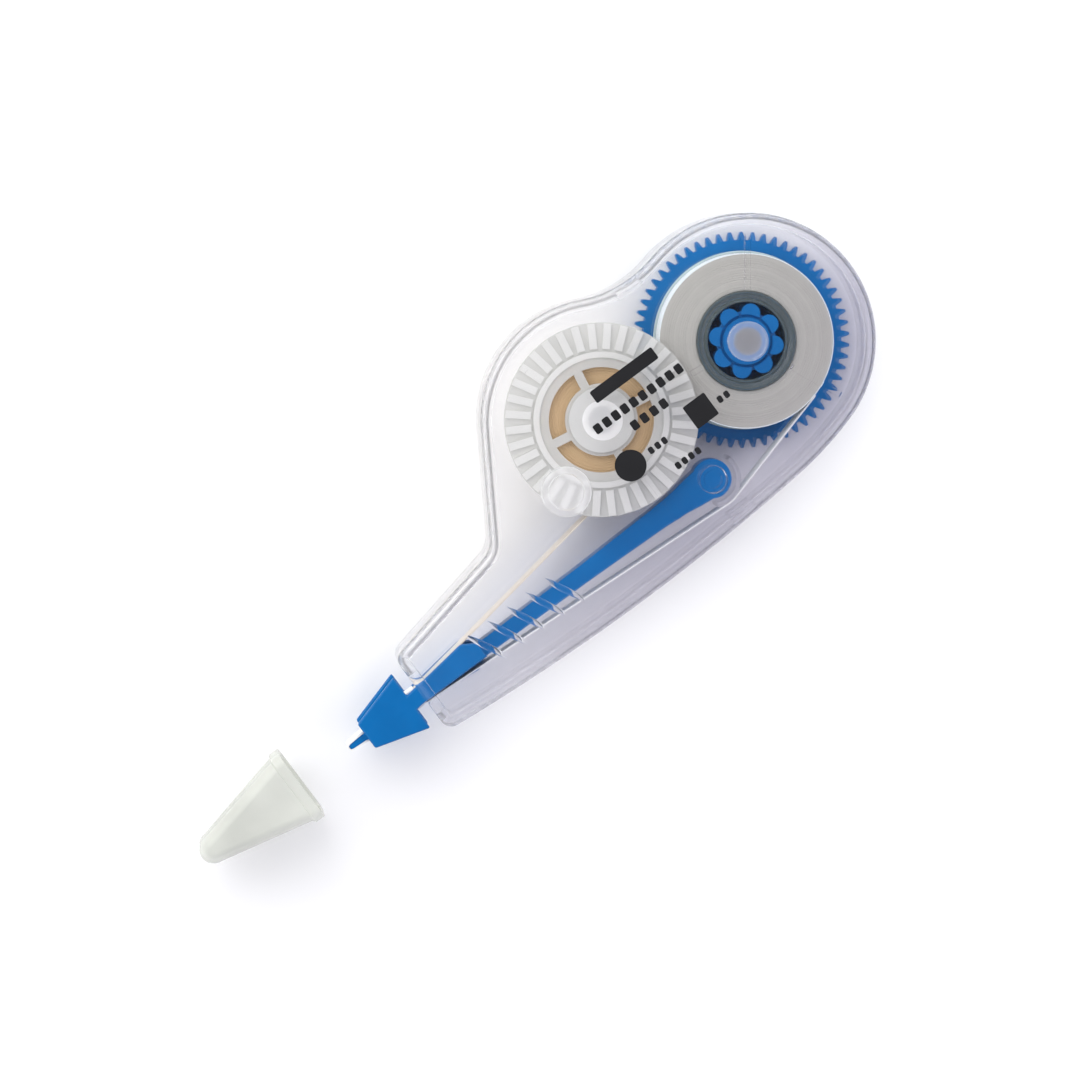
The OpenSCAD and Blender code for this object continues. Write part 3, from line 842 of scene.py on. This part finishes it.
CAP_LOW, CAP_HIGH = box_mm("cap")
CAP_L = CAP_HIGH[0] - CAP_LOW[0]
CAP_W = CAP_HIGH[1] - CAP_LOW[1]
CAP_H = CAP_HIGH[2] - CAP_LOW[2]
CAP_MID = Vector(((CAP_LOW[1] + CAP_HIGH[1]) / 2, (CAP_LOW[2] + CAP_HIGH[2]) / 2))
CAP_TIP_R, CAP_TIP_H, CAP_LIP, LIP_L = 1.6, 7.4, 0.06, 1.2


def cap_ring(x, half_w, half_h, r):
    """A rounded rectangle across the cap at x."""
    r = min(r, half_w * 0.98, half_h * 0.98)
    ring = []
    for sy, sz, a0 in ((1, 1, 0), (-1, 1, 90), (-1, -1, 180), (1, -1, 270)):
        for i in range(7):
            u = direction(a0 + 15 * i)
            ring.append((x, CAP_MID.x + sy * (half_w - r) + r * u.x,
                         CAP_MID.y + sz * (half_h - r) + r * u.y))
    return ring


def cap_skin(t, name):
    """The cap's outer face, or its inner face for a wall t thick."""
    rings = []
    half_w = CAP_W / 2 - CAP_LIP
    tip_x = CAP_L - CAP_TIP_R
    for i in range(9):
        s = i / 8
        x = s * tip_x
        rings.append((x, half_w + (CAP_TIP_R - half_w) * s - t,
                      (CAP_H - 2 * CAP_LIP + (CAP_TIP_H - CAP_H + 2 * CAP_LIP) * x / CAP_L) / 2 - t))
    last = rings[-1]
    for a in range(15, 91, 15):
        u = direction(a)
        rings.append((tip_x + (CAP_TIP_R - t) * u.y, last[1] * max(u.x, 0.12),
                      last[2] - (CAP_TIP_R - t) * 0.55 * (1 - u.x)))
    start = -0.5 if t else 0
    rings[0] = (start, rings[0][1], rings[0][2])
    return loft(name, [cap_ring(CAP_HIGH[0] - x, w, h, 1.3 - t) for x, w, h in rings])


def cap():
    body = cap_skin(0, "pull_off_cap")
    band = loft("band", [cap_ring(CAP_HIGH[0] - x, CAP_W / 2 - d, CAP_H / 2 - d, 1.4)
                         for x, d in ((0, 0.06), (0.06, 0), (LIP_L - 0.1, 0), (LIP_L + 0.1, 0.2))])
    combine(body, [band], "UNION")
    mouth = loft("mouth", [cap_ring(CAP_HIGH[0] - x, CAP_W / 2 - 0.7, CAP_H / 2 - 0.7, 0.9)
                           for x in (-1, LIP_L)])
    combine(body, [cap_skin(0.55, "hollow"), mouth], "DIFFERENCE")
    return finish_edges(body)


place(cap(), "cap", "clear_cap", CLEAR_CAP, "cap")


# ---- plain printed marks -----------------------------------------------------------------------

MARK_H = 1.1
DASH_ROWS = ((-17.4, 5.2, 1, 8.4, 1.5, 9), (-19.4, 2.2, 10, 0.85, MARK_H, 1.22),
             (-15.9, 0.1, 4, 0.85, MARK_H, 1.3), (-16, -3.2, 3, 0.6, 0.8, 0.9),
             (-6.6, -3.2, 2, 0.6, 0.8, 0.9), (-14.6, -6.3, 4, 0.6, 0.8, 0.9))


def rounded_rectangle(x, y, w, h, r):
    points = []
    for sx, sy, a0 in ((1, 1, 0), (-1, 1, 90), (-1, -1, 180), (1, -1, 270)):
        corner = Vector((x + sx * (w / 2 - r), y + sy * (h / 2 - r)))
        points += arc(corner, r, a0, a0 + 90, 4)
    return points


def printed_marks():
    shapes = []
    for x, y, count, w, h, pitch in DASH_ROWS:
        shapes += [rounded_rectangle(x + i * pitch + w / 2, y, w, h, 0.2) for i in range(count)]
    shapes.append(circle(Vector((-18.5, -3.2)), 1.75, 48))
    shapes.append(rounded_rectangle(-8.75, -2.95, 2.9, 2.9, 0.15))
    z0, z1 = CASE_H + 0.005, CASE_H + 0.035
    points, faces = [], []
    for shape in shapes:
        n, at = len(shape), len(points)
        points += [(p.x, p.y, z) for z in (z0, z1) for p in shape]
        faces += [[at + i for i in range(n)][::-1], [at + n + i for i in range(n)]]
        faces += [[at + i, at + (i + 1) % n, at + n + (i + 1) % n, at + n + i] for i in range(n)]
    return mesh_object("front_print", points, faces)


place(finish_edges(printed_marks(), weighted=False), "casing", "print_ink", INK, "printed_marks")


# ---- CAD nodes that stay, with their finishes -----------------------------------------------


def finish_node(node, material, bevel_mm):
    obj = frame["nodes"][node]
    obj.data.materials.clear()
    obj.data.materials.append(material)
    bevel = obj.modifiers.new("Bevel", "BEVEL")
    bevel.width = bevel_mm * MM
    bevel.segments = 2
    bevel.limit_method = "ANGLE"
    bevel.angle_limit = math.radians(40)


finish_node("supply_gear", BLUE, 0.05)
finish_node("takeup_gear", WHITE, 0.05)
finish_node("takeup_flange", FLANGE, 0.06)

for clear_piece in (casing_back, casing_front):
    clear_piece.visible_shadow = False
    clear_piece.visible_diffuse = False


# ---- stage, light and camera -------------------------------------------------------------------

floor_material = Shader("floor", (0.95, 0.95, 0.95), 0.8)
floor_material.tint(floor_material.noise(8, 2), (0.94, 0.94, 0.94), (0.955, 0.955, 0.955))
floor = block("floor", (-1500, -1500, -2), (1500, 1500, -0.02))
floor.data.materials.append(floor_material.material)

PHOTO_ROLL = 36.5
RIGHT = Vector((*direction(-PHOTO_ROLL), 0))
UP = Vector((*direction(90 - PHOTO_ROLL), 0))
TRANSMISSION_BOUNCES = 24
AIM = Vector((-31.27, -4.2, 7.0)) * MM
VIEW_WIDTH_MM = 119.2
LENS, SENSOR = 200.0, 36.0
TILT_LEFT, TILT_UP = 3.2, 3.0


def studio():
    """A soft room: bright from the upper left of the view, lilac-grey from the lower right."""
    world = bpy.data.worlds.new("studio")
    bpy.context.scene.world = world
    world.use_nodes = True
    tree = world.node_tree
    where = tree.nodes.new("ShaderNodeTexCoord").outputs["Generated"]

    def ramp(factor, stops):
        node = tree.nodes.new("ShaderNodeValToRGB")
        node.color_ramp.elements.new(0.5)
        for element, (position, colour) in zip(node.color_ramp.elements, stops):
            element.position = position
            element.color = (*colour, 1)
        tree.links.new(factor, node.inputs[0])
        return node.outputs[0]

    split = tree.nodes.new("ShaderNodeSeparateXYZ")
    tree.links.new(where, split.inputs[0])
    height = ramp(split.outputs[2], ((0.0, (0.8, 0.8, 0.8)), (0.72, (1, 1, 1)),
                                     (1.0, (0.10, 0.10, 0.11))))
    across = tree.nodes.new("ShaderNodeVectorMath")
    across.operation = "DOT_PRODUCT"
    across.inputs[1].default_value = (UP * 0.6 - RIGHT * 0.8) / 2
    tree.links.new(where, across.inputs[0])
    centred = tree.nodes.new("ShaderNodeMath")
    centred.inputs[1].default_value = 0.5
    tree.links.new(across.outputs["Value"], centred.inputs[0])
    side = ramp(centred.outputs[0], ((0.0, (0.28, 0.26, 0.36)), (0.5, (0.95, 0.95, 0.97)),
                                     (1.0, (1, 1, 1))))
    both = tree.nodes.new("ShaderNodeMix")
    both.data_type = "RGBA"
    both.blend_type = "MULTIPLY"
    both.inputs["Factor"].default_value = 1
    tree.links.new(height, both.inputs["A"])
    tree.links.new(side, both.inputs["B"])
    background = tree.nodes["Background"]
    tree.links.new(both.outputs["Result"], background.inputs[0])
    background.inputs[1].default_value = 1.5


studio()


def area_light(name, at, size, power, colour=(1, 1, 1)):
    data = bpy.data.lights.new(name, "AREA")
    data.energy = power
    data.size = size
    data.color = colour
    light = new_object(name, data)
    light.location = AIM + at
    light.rotation_mode = "QUATERNION"
    light.rotation_quaternion = (-at).to_track_quat("-Z", "Y")
    return light


area_light("key", (UP * 0.5 - RIGHT * 0.45 + Vector((0, 0, 0.65))), 0.9, 3.6)
area_light("fill", (RIGHT * 0.6 - UP * 0.2 + Vector((0, 0, 0.6))), 0.6, 1.5)

camera_data = bpy.data.cameras.new("camera")
camera_data.lens = LENS
camera_data.sensor_width = SENSOR
camera = new_object("camera", camera_data)
towards = (Vector((0, 0, 1)) - RIGHT * math.tan(math.radians(TILT_LEFT))
           + UP * math.tan(math.radians(TILT_UP))).normalized()
camera.location = AIM + towards * (VIEW_WIDTH_MM * MM * LENS / SENSOR)
side = (UP.cross(towards)).normalized()
over = towards.cross(side)
camera.rotation_mode = "QUATERNION"
camera.rotation_quaternion = Matrix((side, over, towards)).transposed().to_quaternion()
bpy.context.scene.camera = camera

scene = bpy.context.scene
scene.view_settings.view_transform = "Standard"
scene.cycles.max_bounces = TRANSMISSION_BOUNCES
scene.cycles.transmission_bounces = TRANSMISSION_BOUNCES
scene.cycles.transparent_max_bounces = TRANSMISSION_BOUNCES
scene.cycles.use_denoising = True
